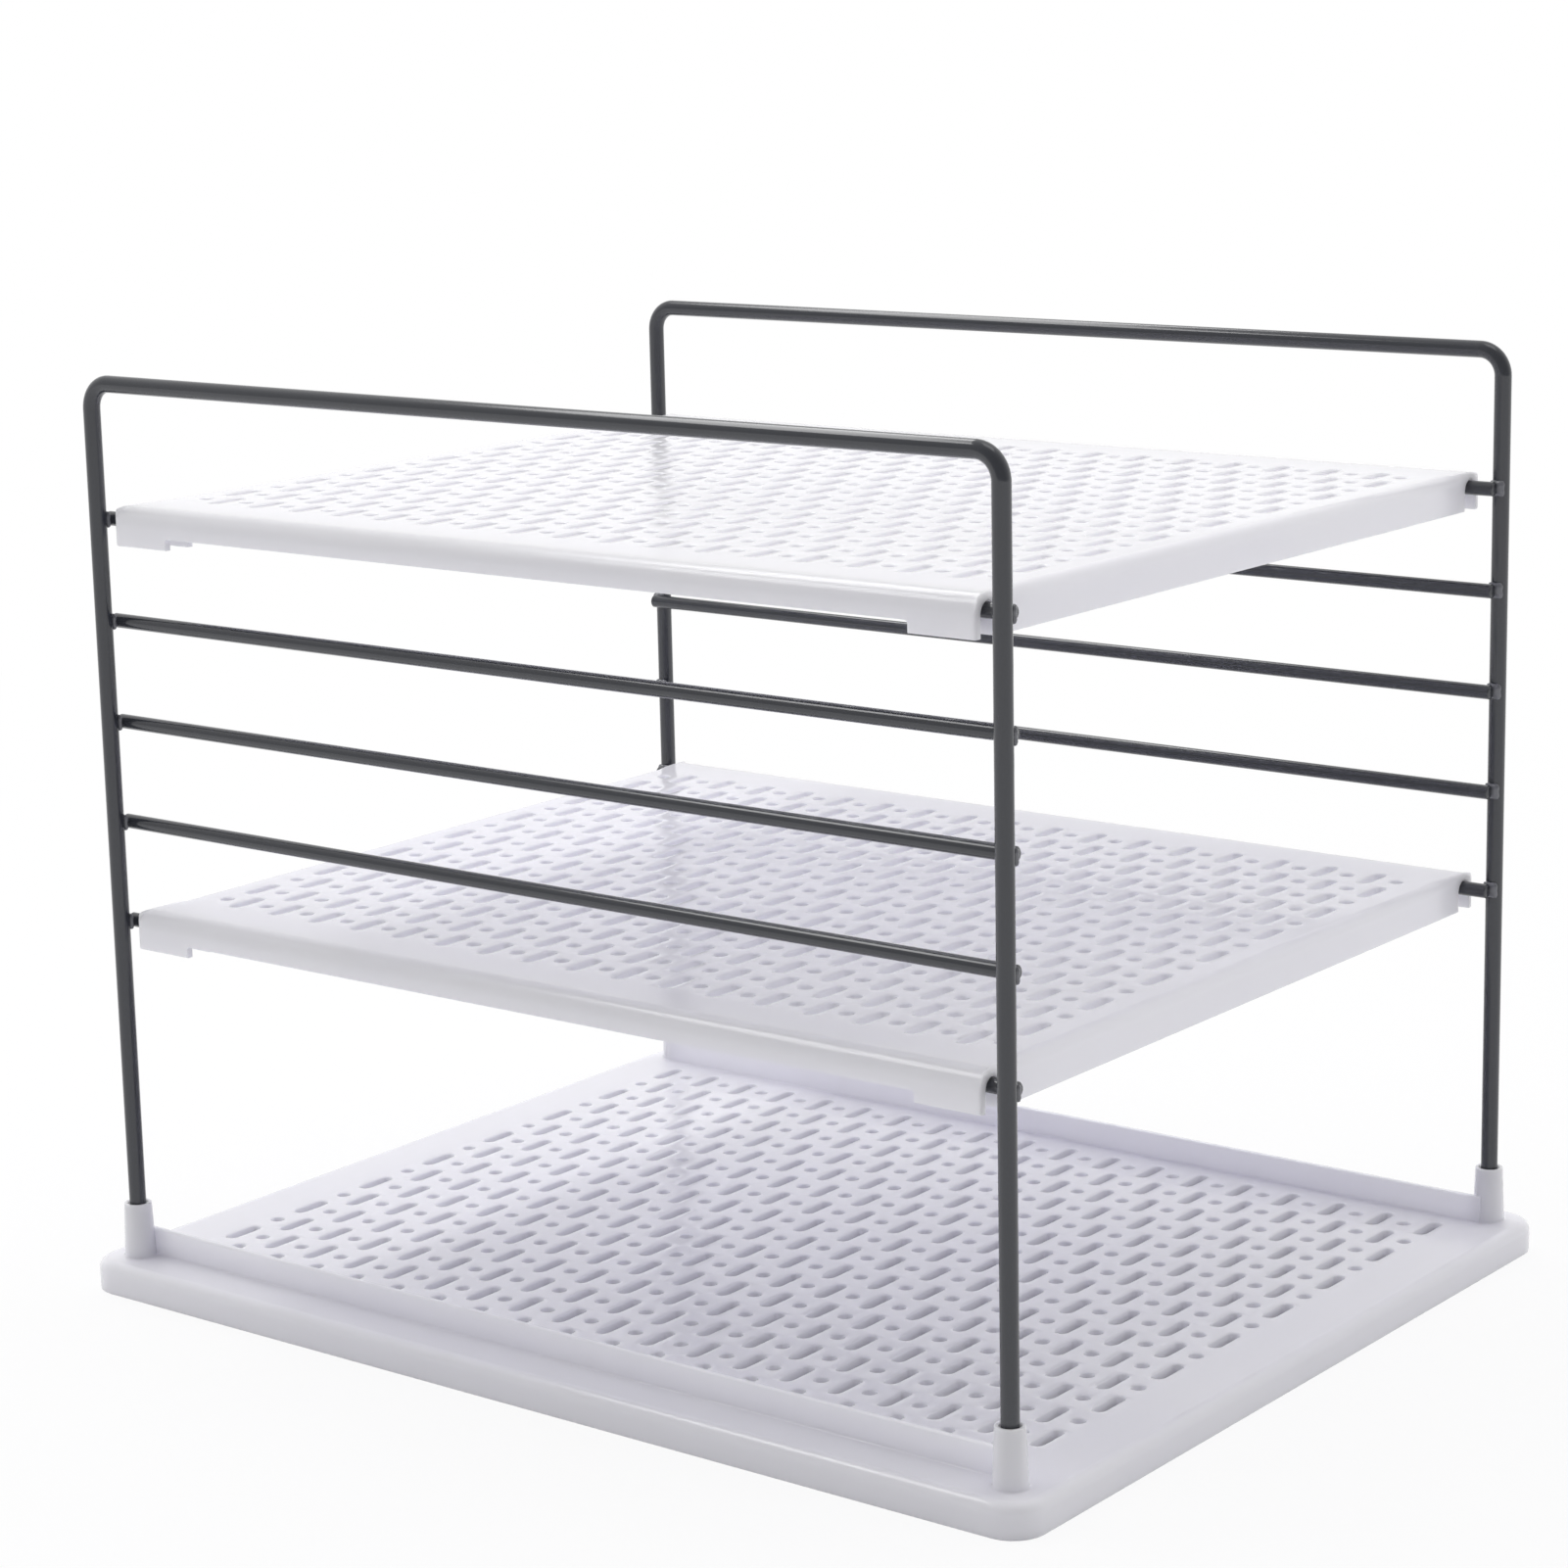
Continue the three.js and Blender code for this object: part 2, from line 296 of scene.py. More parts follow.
class ShapeTree:
    """A Geometry Nodes tree with named inputs, which turns one mesh into another."""

    KINDS = (
        (int, "NodeSocketInt"),
        (float, "NodeSocketFloat"),
        (Object, "NodeSocketObject"),
        (Material, "NodeSocketMaterial"),
    )

    def __init__(self, name: str, values: dict[str, object]) -> None:
        """Starts a tree.

        Args:
            name: Name of the tree.
            values: The value of each named input, with the finish as "Material".
        """
        self.tree = bpy.data.node_groups.new(name, "GeometryNodeTree")
        self.values: dict[str, object] = {}
        face = self.tree.interface
        for way in ("INPUT", "OUTPUT"):
            face.new_socket("Geometry", in_out=way, socket_type="NodeSocketGeometry")
        for label, value in values.items():
            kind = next(socket for type_, socket in self.KINDS if isinstance(value, type_))
            made = face.new_socket(label, in_out="INPUT", socket_type=kind)
            self.values[made.identifier] = value
        self.inputs = add(self.tree, "NodeGroupInput").outputs

    def end(self, geometry: object) -> None:
        """Ends the tree in one dressed mesh.

        Args:
            geometry: The node that the mesh comes from, or a list of nodes and sockets.
        """
        joined = add(self.tree, "GeometryNodeJoinGeometry", {"Geometry": geometry})
        real = add(self.tree, "GeometryNodeRealizeInstances", {"Geometry": joined})
        finish = {"Geometry": real, "Material": self.inputs["Material"]}
        dressed = add(self.tree, "GeometryNodeSetMaterial", finish)
        add(self.tree, "NodeGroupOutput", {"Geometry": dressed})

    def run(self, mesh: Mesh) -> Mesh:
        """Runs the tree on a mesh.

        Args:
            mesh: The mesh that goes in, which is used up.

        Returns:
            The mesh that comes out.
        """
        host = linked(self.tree.name, mesh)
        modifier = host.modifiers.new(self.tree.name, "NODES")
        modifier.node_group = self.tree
        for identifier, value in self.values.items():
            modifier[identifier] = value
        return settled(host)


@dataclass(frozen=True)
class Relief:
    """One layer of fine unevenness in a surface: its waves and their finer octaves."""

    length: float
    depth: float
    detail: float


@dataclass(frozen=True)
class Finish:
    """A surface whose tone and gloss drift together, with layers of fine relief."""

    name: str
    tones: tuple[str, str]  # the surface drifts between them
    gloss: tuple[float, float]  # roughness at either tone
    refraction: float
    drift: float  # length of the drifting patches
    detail: float  # finer octaves in the patches
    fade: float  # how strong each finer octave is
    swirl: float  # how far the patches are drawn out of shape
    reliefs: tuple[Relief, ...]
    glow_share: float = 0.0  # light that goes into the surface and comes out near by
    glow_length: float = MM

    def material(self) -> Material:
        """Builds the material and returns it."""
        made = bpy.data.materials.new(self.name)
        tree = blank_tree(made)
        place = add(tree, "ShaderNodeTexCoord").outputs["Object"]
        patches = add(
            tree,
            "ShaderNodeTexNoise",
            {
                "Vector": place,
                "Scale": 1 / self.drift,
                "Detail": self.detail,
                "Roughness": self.fade,
                "Distortion": self.swirl,
            },
        )
        ends = [linear(tone) for tone in self.tones]
        mixed = {"Factor": patches, 6: ends[0], 7: ends[1]}
        tone = add(tree, "ShaderNodeMix", mixed, data_type="RGBA")
        spread = {"Value": patches, "To Min": self.gloss[0], "To Max": self.gloss[1]}
        gloss = add(tree, "ShaderNodeMapRange", spread)
        below: Inputs = {}
        for relief in self.reliefs:
            waves = {"Vector": place, "Scale": 1 / relief.length, "Detail": relief.detail}
            height = add(tree, "ShaderNodeTexNoise", waves)
            bump = {"Height": height, "Strength": 1.0, "Distance": relief.depth}
            below = {"Normal": add(tree, "ShaderNodeBump", bump | below)}
        surface = add(
            tree,
            "ShaderNodeBsdfPrincipled",
            {
                "Base Color": tone,
                "Roughness": gloss,
                "IOR": self.refraction,
                "Subsurface Weight": self.glow_share,
                "Subsurface Radius": (1.0, 1.0, 1.0),
                "Subsurface Scale": self.glow_length,
            }
            | below,
        )
        add(tree, "ShaderNodeOutputMaterial", {"Surface": surface})
        return made


@dataclass(frozen=True)
class MouldedPlastic(Finish):
    """Polypropylene from a polished steel mould, white with a faint lavender tone.

    The eye gets a clear gloss that mirrors the wires at a low angle, ripples in that mirror
    where the plate shrank as it cooled, and a tone that drifts slightly along the melt's flow.
    """

    name: str = "polypropylene_from_a_polished_mould"
    tones: tuple[str, str] = ("#F4F3FD", "#EFEEFA")  # the second where the melt cooled first
    gloss: tuple[float, float] = (0.13, 0.21)  # where the mould is bright and where it is dull
    refraction: float = 1.49
    drift: float = 55 * MM
    detail: float = 3.0
    fade: float = 0.5
    swirl: float = 0.6
    reliefs: tuple[Relief, ...] = (
        Relief(6 * MM, 0.010 * MM, 2.0),  # ripples from cooling
        Relief(0.45 * MM, 0.0006 * MM, 2.0),  # grain of the mould
    )
    glow_share: float = 0.8
    glow_length: float = 3.0 * MM


@dataclass(frozen=True)
class CoatedWire(Finish):
    """Drawn steel wire under a baked powder coat, dark grey and glossy.

    The eye gets a clear highlight along the wire, wavering a little with the coat's orange peel,
    and a faint fleck where the powder melted unevenly.
    """

    name: str = "steel_wire_powder_coated_grey"
    tones: tuple[str, str] = ("#35373D", "#393B41")  # between and on the flecks
    gloss: tuple[float, float] = (0.09, 0.14)
    refraction: float = 1.6
    drift: float = 0.7 * MM
    detail: float = 4.0
    fade: float = 0.6
    swirl: float = 0.0
    reliefs: tuple[Relief, ...] = (Relief(1.6 * MM, 0.004 * MM, 1.0),)  # orange peel


# The weld beads are painted paler than the wires: a painted highlight that stands for the glints on
# them.
BEAD_COAT_WITH_PAINTED_HIGHLIGHT = CoatedWire(name="steel_weld_bead_thin_powder_coat", tones=("#77787D", "#6A6B71"))


def place_piece(name: str, mesh: Mesh, body: str, nodes: Sequence[str] = ()) -> None:
    """Puts a finished mesh on the shelf as a piece.

    Args:
        name: Name of the piece.
        mesh: Its mesh, in place and dressed.
        body: The body that it moves with.
        nodes: The solid-model nodes that it stands for.
    """
    mesh.name = name
    made = linked(name, mesh)
    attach(made, body)
    if nodes:
        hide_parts(*nodes)
    LOG.info("%s: %d faces, rides on %s", name, len(mesh.polygons), body)


@dataclass(frozen=True)
class Station:
    """A place on the outline of a pan, with the outward direction there."""

    along: tuple[float, float]  # between the ends of the straight sides, from -1 to 1
    facing: tuple[float, float]


@dataclass
class Perforation:
    """Slots and round holes that alternate over a plate, one in each cell of a grid."""

    columns: int
    rows: int
    plate: float
    column_pitch: float = 11.75 * MM
    row_pitch: float = 6.6 * MM
    slot_length: float = 10.4 * MM
    slot_width: float = 3.0 * MM
    hole_diameter: float = 3.2 * MM
    rim: float = 0.35 * MM  # width of the round around the upper edge of a hole
    draft: float = 0.3 * MM  # how far the hole's wall leans in towards its lower edge
    border_x: tuple[float, ...] = (-1.0, -0.6, 0.0, 0.6, 1.0)  # points on a cell's long sides
    border_y: tuple[float, ...] = (-1.0, -0.5, 0.0, 0.5, 1.0)  # points on a cell's short sides
    hole_steps: int = 16  # chords round a hole, one for each point on its cell's border

    def half_window(self) -> tuple[float, float]:
        """Returns half the width and half the length of the whole grid."""
        return self.columns * self.column_pitch / 2, self.rows * self.row_pitch / 2

    @staticmethod
    def side_fractions(count: int, border: Sequence[float]) -> list[float]:
        """Spreads the border points of a row of cells over a side of the grid, from -1 to 1."""
        steps = [cell + (point + 1) / 2 for cell in range(count) for point in border[:-1]]
        return [2 * step / count - 1 for step in steps] + [1.0]

    def stations(self, corner_steps: int) -> list[Station]:
        """Lists the places round a pan that its rings pass, to meet the grid's border points.

        Args:
            corner_steps: Number of chords in each corner.

        Returns:
            The stations, counter-clockwise seen from above, from the front left corner.
        """
        across = self.side_fractions(self.columns, self.border_x)
        along = self.side_fractions(self.rows, self.border_y)
        front = [(x, -1.0) for x in across]
        right = [(1.0, y) for y in along]
        back = [(x, 1.0) for x in reversed(across)]
        left = [(-1.0, y) for y in reversed(along)]
        places: list[Station] = []
        for quarter, side in enumerate((front, right, back, left)):
            heading = math.pi / 2 * (quarter - 1)
            facing = (math.cos(heading), math.sin(heading))
            places += [Station(point, facing) for point in side]
            for step in range(1, corner_steps):
                bend = heading + math.pi / 2 * step / corner_steps
                places.append(Station(side[-1], (math.cos(bend), math.sin(bend))))
        return places

    def hole_outline(self, kind: Opening, margin: float) -> list[Point]:
        """Returns the outline of a hole, one point for each border point of its cell.

        Args:
            kind: The kind of hole.
            margin: Distance of the outline outside the hole's wall.

        Returns:
            The points, counter-clockwise from the right.
        """
        if kind is Opening.ROUND:
            return arc((0.0, 0.0), self.hole_diameter / 2 + margin, 0, 360, self.hole_steps)[:-1]
        end_steps = self.hole_steps // 2 - 2
        radius = self.slot_width / 2 + margin
        run = (self.slot_length - self.slot_width) / 2
        right = arc((run, 0.0), radius, -90, 90, end_steps)
        left = arc((-run, 0.0), radius, 90, 270, end_steps)
        points = [*right, (0.0, radius), *left, (0.0, -radius)]
        return points[end_steps // 2 :] + points[: end_steps // 2]

    def cell(self, kind: Opening) -> Mesh:
        """Makes the part of the plate around one hole, with the plate's top at height zero.

        Args:
            kind: The kind of hole.

        Returns:
            The mesh of the cell, open at its four sides.
        """
        right = [(1.0, y) for y in self.border_y[2:]]
        top = [(x, 1.0) for x in reversed(self.border_x[:-1])]
        left = [(-1.0, y) for y in reversed(self.border_y[:-1])]
        bottom = [(x, -1.0) for x in self.border_x[1:]]
        rest = [(1.0, y) for y in self.border_y[1:2]]
        half_x, half_y = self.column_pitch / 2, self.row_pitch / 2
        border = [(x * half_x, y * half_y) for x, y in right + top + left + bottom + rest]
        levels = (
            (border, 0.0),
            (self.hole_outline(kind, self.rim), 0.0),
            (self.hole_outline(kind, 0.0), -self.rim),
            (self.hole_outline(kind, -self.draft), -self.plate),
            (border, -self.plate),
        )
        shell = bmesh.new()
        loft(shell, [[Vector((x, y, z)) for x, y in points] for points, z in levels])
        return meshed(shell, kind.value)

    def fill(self, shell: Mesh, top: float, material: Material) -> Mesh:
        """Fills the window of a pan with the perforated plate.

        Args:
            shell: The pan's shell, open at the window, which is used up.
            top: Height of the plate's top.
            material: The finish of the moulding.

        Returns:
            The whole moulding, in one piece.
        """
        cells = {kind.value: linked(kind.value, self.cell(kind)) for kind in Opening}
        values = {
            "Columns": self.columns,
            "Rows": self.rows,
            "Column Pitch": self.column_pitch,
            "Row Pitch": self.row_pitch,
            "Height": top,
            "Material": material,
        }
        shape = ShapeTree("staggered_perforation", values | cells)
        tree, sizes = shape.tree, shape.inputs
        size = {"Vertices X": sizes["Columns"], "Vertices Y": sizes["Rows"]}
        for axis, line in (("X", "Column"), ("Y", "Row")):
            gaps = add(tree, "ShaderNodeMath", {0: sizes[f"{line}s"], 1: 1.0}, operation="SUBTRACT")
            span = {0: gaps, 1: sizes[f"{line} Pitch"]}
            size[f"Size {axis}"] = add(tree, "ShaderNodeMath", span, operation="MULTIPLY")
        grid = add(tree, "GeometryNodeMeshGrid", size)
        by_rows = {0: add(tree, "GeometryNodeInputIndex"), 1: sizes["Rows"]}
        ratio = add(tree, "ShaderNodeMath", by_rows, operation="DIVIDE")
        column = add(tree, "ShaderNodeMath", {0: ratio}, operation="FLOOR")
        row = add(tree, "ShaderNodeMath", by_rows, operation="MODULO")
        steps = add(tree, "ShaderNodeMath", {0: column, 1: row}, operation="ADD")
        odd = add(tree, "ShaderNodeMath", {0: steps, 1: 2.0}, operation="MODULO")
        even = add(tree, "ShaderNodeMath", {0: odd, 1: 0.5}, operation="LESS_THAN")
        raised = add(tree, "ShaderNodeCombineXYZ", {"Z": sizes["Height"]})
        places = add(tree, "GeometryNodeTransform", {"Geometry": grid, "Translation": raised})
        pieces = [sizes["Geometry"]]
        for kind, chosen in ((Opening.SLOT, odd), (Opening.ROUND, even)):
            cell = add(tree, "GeometryNodeObjectInfo", {"Object": sizes[kind.value]})
            copies = {"Points": places, "Selection": chosen, "Instance": cell.outputs["Geometry"]}
            pieces.append(add(tree, "GeometryNodeInstanceOnPoints", copies))
        shape.end(pieces)
        filled = shape.run(shell)
        for cell in cells.values():
            bpy.data.objects.remove(cell)
        return filled


@dataclass
class Pan:
    """Shell of a shallow upside-down pan, ring by ring round the window of its plate."""

    half_x: float
    half_y: float
    top: float
    bottom: float
    corner: float
    side_radius: float  # round of the top edge on the left and right
    end_radius: Callable[[float], float]  # round of the top edge in front and behind, by place in X
    inner_x: float
    inner_y: float
    inner_corner: float
    foot_radius: float  # round of the outer bottom edge
    plate: Perforation
    corner_steps: int = 6
    edge_steps: int = 8
    foot_steps: int = 3
    least_corner: float = 0.25  # share of a corner's radius that its top edge keeps

    def outline(self, half_x: float, half_y: float, corner: float, z: float) -> list[Vector]:
        """Returns a level ring.

        Args:
            half_x: Half of its width.
            half_y: Half of its length.
            corner: Radius of its corners.
            z: Its height.

        Returns:
            One point for each station.
        """
        points = []
        for s in self.plate.stations(self.corner_steps):
            x = s.along[0] * (half_x - corner) + corner * s.facing[0]
            y = s.along[1] * (half_y - corner) + corner * s.facing[1]
            points.append(Vector((x, y, z)))
        return points

    def edge_ring(self, turn: float) -> list[Vector]:
        """Returns a ring of the rounded top edge.

        Args:
            turn: Angle from the outer side up to the top.

        Returns:
            One point for each station.
        """
        inset, drop = 1 - math.cos(turn), 1 - math.sin(turn)
        corner = max(self.corner - self.side_radius * inset, self.corner * self.least_corner)
        points = []
        for s in self.plate.stations(self.corner_steps):
            end_radius = self.end_radius(s.along[0] * self.half_x)
            reach_x = self.half_x - self.side_radius * inset - corner
            reach_y = self.half_y - end_radius * inset - corner
            radius = self.side_radius * s.facing[0] ** 2 + end_radius * s.facing[1] ** 2
            x = s.along[0] * reach_x + corner * s.facing[0]
            y = s.along[1] * reach_y + corner * s.facing[1]
            points.append(Vector((x, y, self.top - radius * drop)))
        return points

    def blank(self) -> Mesh:
        """Builds the pan with walls round its window, as a closed solid, and returns it."""
        window_x, window_y = self.plate.half_window()
        under = self.top - self.plate.plate
        foot = self.foot_radius
        rings = [
            self.outline(window_x, window_y, 0.0, under),
            self.outline(self.inner_x, self.inner_y, self.inner_corner, under),
            self.outline(self.inner_x, self.inner_y, self.inner_corner, self.bottom),
        ]
        for out, up in arc((-foot, foot), foot, -90, 0, self.foot_steps):
            outer_x, outer_y = self.half_x + out, self.half_y + out
            rings.append(self.outline(outer_x, outer_y, self.corner + out, self.bottom + up))
        for step in range(self.edge_steps + 1):
            rings.append(self.edge_ring(math.pi / 2 * step / self.edge_steps))
        rings.append(self.outline(window_x, window_y, 0.0, self.top))
        shell = bmesh.new()
        loft(shell, rings, looped=True)
        return meshed(shell, "pan_blank")

    def open_window(self, blank: Mesh) -> Mesh:
        """Takes away the walls of the window.

        Args:
            blank: The blank with all its forms, which is used up.

        Returns:
            The shell, open at the window.
        """
        window_x, window_y = self.plate.half_window()
        shell = bmesh.new()
        shell.from_mesh(blank)
        bpy.data.meshes.remove(blank)
        walls = []
        for face in shell.faces:
            centre = face.calc_center_median()
            for axis, window in enumerate((window_x, window_y)):
                on_wall = abs(abs(centre[axis]) - window) < MERGE_DISTANCE
                if on_wall and abs(face.normal[axis]) > WALL_FACING:
                    walls.append(face)
        bmesh.ops.delete(shell, geom=walls, context="FACES")
        return meshed(shell, "open_pan")


@dataclass
class BaseTray:
    """Base moulding: a perforated plate with a skirt, four socket posts and two side ribs."""

    node: str = "base_tray"
    height: float = 7.8 * MM
    skirt: float = 2.0 * MM
    corner: float = 8.0 * MM
    edge_radius: float = 2.5 * MM
    foot_radius: float = 0.5 * MM
    post_inset: float = 9.4 * MM  # outer edge of the tray to the axis of a post
    post_foot: float = 3.8 * MM
    post_top: float = 3.3 * MM
    post_rim: float = 0.25 * MM
    socket_radius: float = 2.3 * MM
    socket_lead: float = 0.25 * MM  # chamfer where the leg goes in
    socket_floor: float = 8.6 * MM
    fillet: float = 0.5 * MM  # hollow round where posts and ribs meet the plate
    toe: tuple[float, float] = (0.6 * MM, 0.06 * MM)  # how the round runs out into the plate
    rib_offset: float = 3.2 * MM  # axis of a post to the middle of its rib
    rib_thickness: float = 1.7 * MM
    rib_height: float = 6.5 * MM
    rib_stop: float = 0.35 * MM  # end of a rib to the axis of its post, inside the post
    rib_draft: float = 0.1 * MM
    rib_edge: float = 0.6 * MM
    root: float = 0.8 * MM  # how deep posts and ribs are rooted in the plate
    post_steps: int = 32
    fillet_steps: int = 5
    rim_steps: int = 4
    plate: Perforation = field(default_factory=lambda: Perforation(16, 37, 2.2 * MM))

    def foot(self, out: float) -> list[Point]:
        """Returns the foot of a post or rib, from its root up to where it stands straight.

        Args:
            out: Distance of the upright face from the middle.

        Returns:
            Distance from the middle and height of each point.
        """
        toe_reach, toe_drop = self.toe
        centre = (out + self.fillet, self.height + self.fillet + toe_drop / 2)
        reach = out + self.fillet + toe_reach
        return [
            (reach, self.height - self.root),
            (reach, self.height - toe_drop / 2),
            *arc(centre, self.fillet, 270, 180, self.fillet_steps),
        ]

    def post_profile(self, rim_z: float) -> list[Point]:
        """Returns radius and height of a socket post, from its root to the socket's floor.

        Args:
            rim_z: Height of the post's rim.

        Returns:
            The points in order.
        """
        rim_centre = (self.post_top - self.post_rim, rim_z - self.post_rim)
        return [
            (0.0, self.height - self.root),
            *self.foot(self.post_foot),
            *arc(rim_centre, self.post_rim, 0, 90, self.rim_steps),
            (self.socket_radius + self.socket_lead, rim_z),
            (self.socket_radius, rim_z - self.socket_lead),
            (self.socket_radius, self.socket_floor),
            (0.0, self.socket_floor),
        ]

    def rib_outline(self) -> list[Point]:
        """Returns the section of a rib: place across it, from its middle, and height."""
        half = self.rib_thickness / 2
        crest = self.height + self.rib_height
        edge = self.rib_edge
        centre = (half - self.rib_draft - edge, crest - edge)
        brow = arc(centre, edge, 0, 90, self.rim_steps)
        right = [*self.foot(half), *brow]
        return right + [(-x, z) for x, z in reversed(right)]

    def build(self, material: Material) -> None:
        """Moulds the tray and puts it on the stand.

        Args:
            material: The finish of the moulding.
        """
        low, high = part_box(self.node)
        pan = Pan(
            half_x=high.x,
            half_y=high.y,
            top=self.height,
            bottom=low.z,
            corner=self.corner,
            side_radius=self.edge_radius,
            end_radius=lambda x: self.edge_radius,
            inner_x=high.x - self.skirt,
            inner_y=high.y - self.skirt,
            inner_corner=self.corner - self.skirt,
            foot_radius=self.foot_radius,
            plate=self.plate,
        )
        ribs, posts = bmesh.new(), bmesh.new()
        post_x, post_y = high.x - self.post_inset, high.y - self.post_inset
        rib_end = post_y - self.rib_stop
        for x in (-post_x, post_x):
            rib_x = x - math.copysign(self.rib_offset, x)
            outline = [Vector((rib_x + across, -rib_end, z)) for across, z in self.rib_outline()]
            prism(ribs, outline[::-1], Vector((0.0, 2 * rib_end, 0.0)))
            for y in (-post_y, post_y):
                turned(posts, self.post_profile(high.z), Vector((x, y, 0.0)), self.post_steps)
        forms = [meshed(ribs, "ribs"), meshed(posts, "posts")]
        shell = pan.open_window(shaped(pan.blank(), Shaping.JOIN, forms))
        tray = evenly_shaded(self.plate.fill(shell, self.height, material))
        place_piece("moulded_base_tray", tray, STAND_BODY, [self.node])


@dataclass
class HungShelf:
    """Shelf moulding: a perforated plate with two clip channels that hook over the bars."""

    roll_radius: float = 4.3 * MM  # outside of the rolled edge over a bar
    channel_radius: float = 2.7 * MM
    skirt: float = 1.8 * MM
    edge_radius: float = 2.8 * MM
    clip_edge_radius: float = 1.0 * MM  # the front and back edges over the clips
    corner: float = 0.8 * MM
    foot_radius: float = 0.3 * MM
    lip_drop: float = 6.4 * MM  # top of the plate to the lip between the tabs
    tab_length: float = 16.5 * MM
    tab_fillet: float = 0.8 * MM
    channel_steps: int = 16
    fillet_steps: int = 4
    corner_steps: int = 4
    plate: Perforation = field(default_factory=lambda: Perforation(15, 35, 2.0 * MM))

    def channels(self, roll_x: float, half_y: float, bottom: float) -> Mesh:
        """Makes the form of the two clip channels, to be cut out.

        Args:
            roll_x: Distance of a channel's axis from the middle of the shelf.
            half_y: Half of the shelf's length.
            bottom: Height of the tabs' lower edge.

        Returns:
            Two closed bars.
        """
        reach = half_y + self.channel_radius
        depth = bottom - self.channel_radius
        shell = bmesh.new()
        for x in (-roll_x, roll_x):
            axis = (x, -self.roll_radius)
            roof = arc(axis, self.channel_radius, 0, 180, self.channel_steps)
            section = [*roof, (x - self.channel_radius, depth), (x + self.channel_radius, depth)]
            outline = [Vector((across, -reach, z)) for across, z in reversed(section)]
            prism(shell, outline, Vector((0.0, 2 * reach, 0.0)))
        return meshed(shell, "clip_channels")

    def lip_gaps(self, inner_x: float, half: Vector, bottom: float) -> Mesh:
        """Makes the form of the gaps between the tabs, to be cut out.

        Args:
            inner_x: Distance of the clips' inner faces from the middle of the shelf.
            half: Half of the shelf's width and length.
            bottom: Height of the tabs' lower edge.

        Returns:
            Two closed bars.
        """
        reach = half.y - self.tab_length
        round_off = self.tab_fillet
        depth = bottom - self.channel_radius
        spare = self.skirt / 2
        centre = (reach - round_off, -self.lip_drop - round_off)
        right = arc(centre, round_off, 0, 90, self.fillet_steps)
        section = [(reach, depth), *right]
        section += [(-y, z) for y, z in reversed(section)]
        shell = bmesh.new()
        for start in (inner_x - spare, -half.x - spare):
            outline = [Vector((start, y, z)) for y, z in section]
            prism(shell, outline, Vector((half.x - inner_x + 2 * spare, 0.0, 0.0)))
        return meshed(shell, "lip_gaps")

    def moulding(self, material: Material) -> Mesh:
        """Moulds a shelf with the top of its plate at height zero.

        Args:
            material: The finish of the moulding.

        Returns:
            The finished mesh.
        """
        low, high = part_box(Tier.TOP.value)
        half = (high - low) / 2
        bottom = low.z - high.z
        roll_x = half.x - self.roll_radius
        inner_x = roll_x - self.roll_radius
        change = self.clip_edge_radius - self.edge_radius

        def end_radius(x: float) -> float:
            """Eases the front and back edges from the skirt's round to the clips' round."""
            share = (abs(x) - inner_x + self.edge_radius) / (2 * self.edge_radius)
            return self.edge_radius + change * min(max(share, 0.0), 1.0)

        pan = Pan(
            half_x=half.x,
            half_y=half.y,
            top=0.0,
            bottom=bottom,
            corner=self.corner,
            side_radius=self.roll_radius,
            end_radius=end_radius,
            inner_x=inner_x,
            inner_y=half.y - self.skirt,
            inner_corner=self.corner / 2,
            foot_radius=self.foot_radius,
            plate=self.plate,
            corner_steps=self.corner_steps,
        )
        forms = [self.channels(roll_x, half.y, bottom), self.lip_gaps(inner_x, half, bottom)]
        shell = pan.open_window(shaped(pan.blank(), Shaping.CUT, forms))
        return evenly_shaded(self.plate.fill(shell, 0.0, material))

    def build(self, material: Material) -> None:
        """Moulds both shelves and hangs them on their bars.

        Args:
            material: The finish of the mouldings.
        """
        pattern = self.moulding(material)
        for tier in Tier:
            mesh = pattern.copy()
            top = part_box(tier.value)[1].z
            mesh.transform(Matrix.Translation((0.0, 0.0, top)))
            place_piece(f"moulded_{tier.value}", mesh, tier.value, [tier.value])
        bpy.data.meshes.remove(pattern)


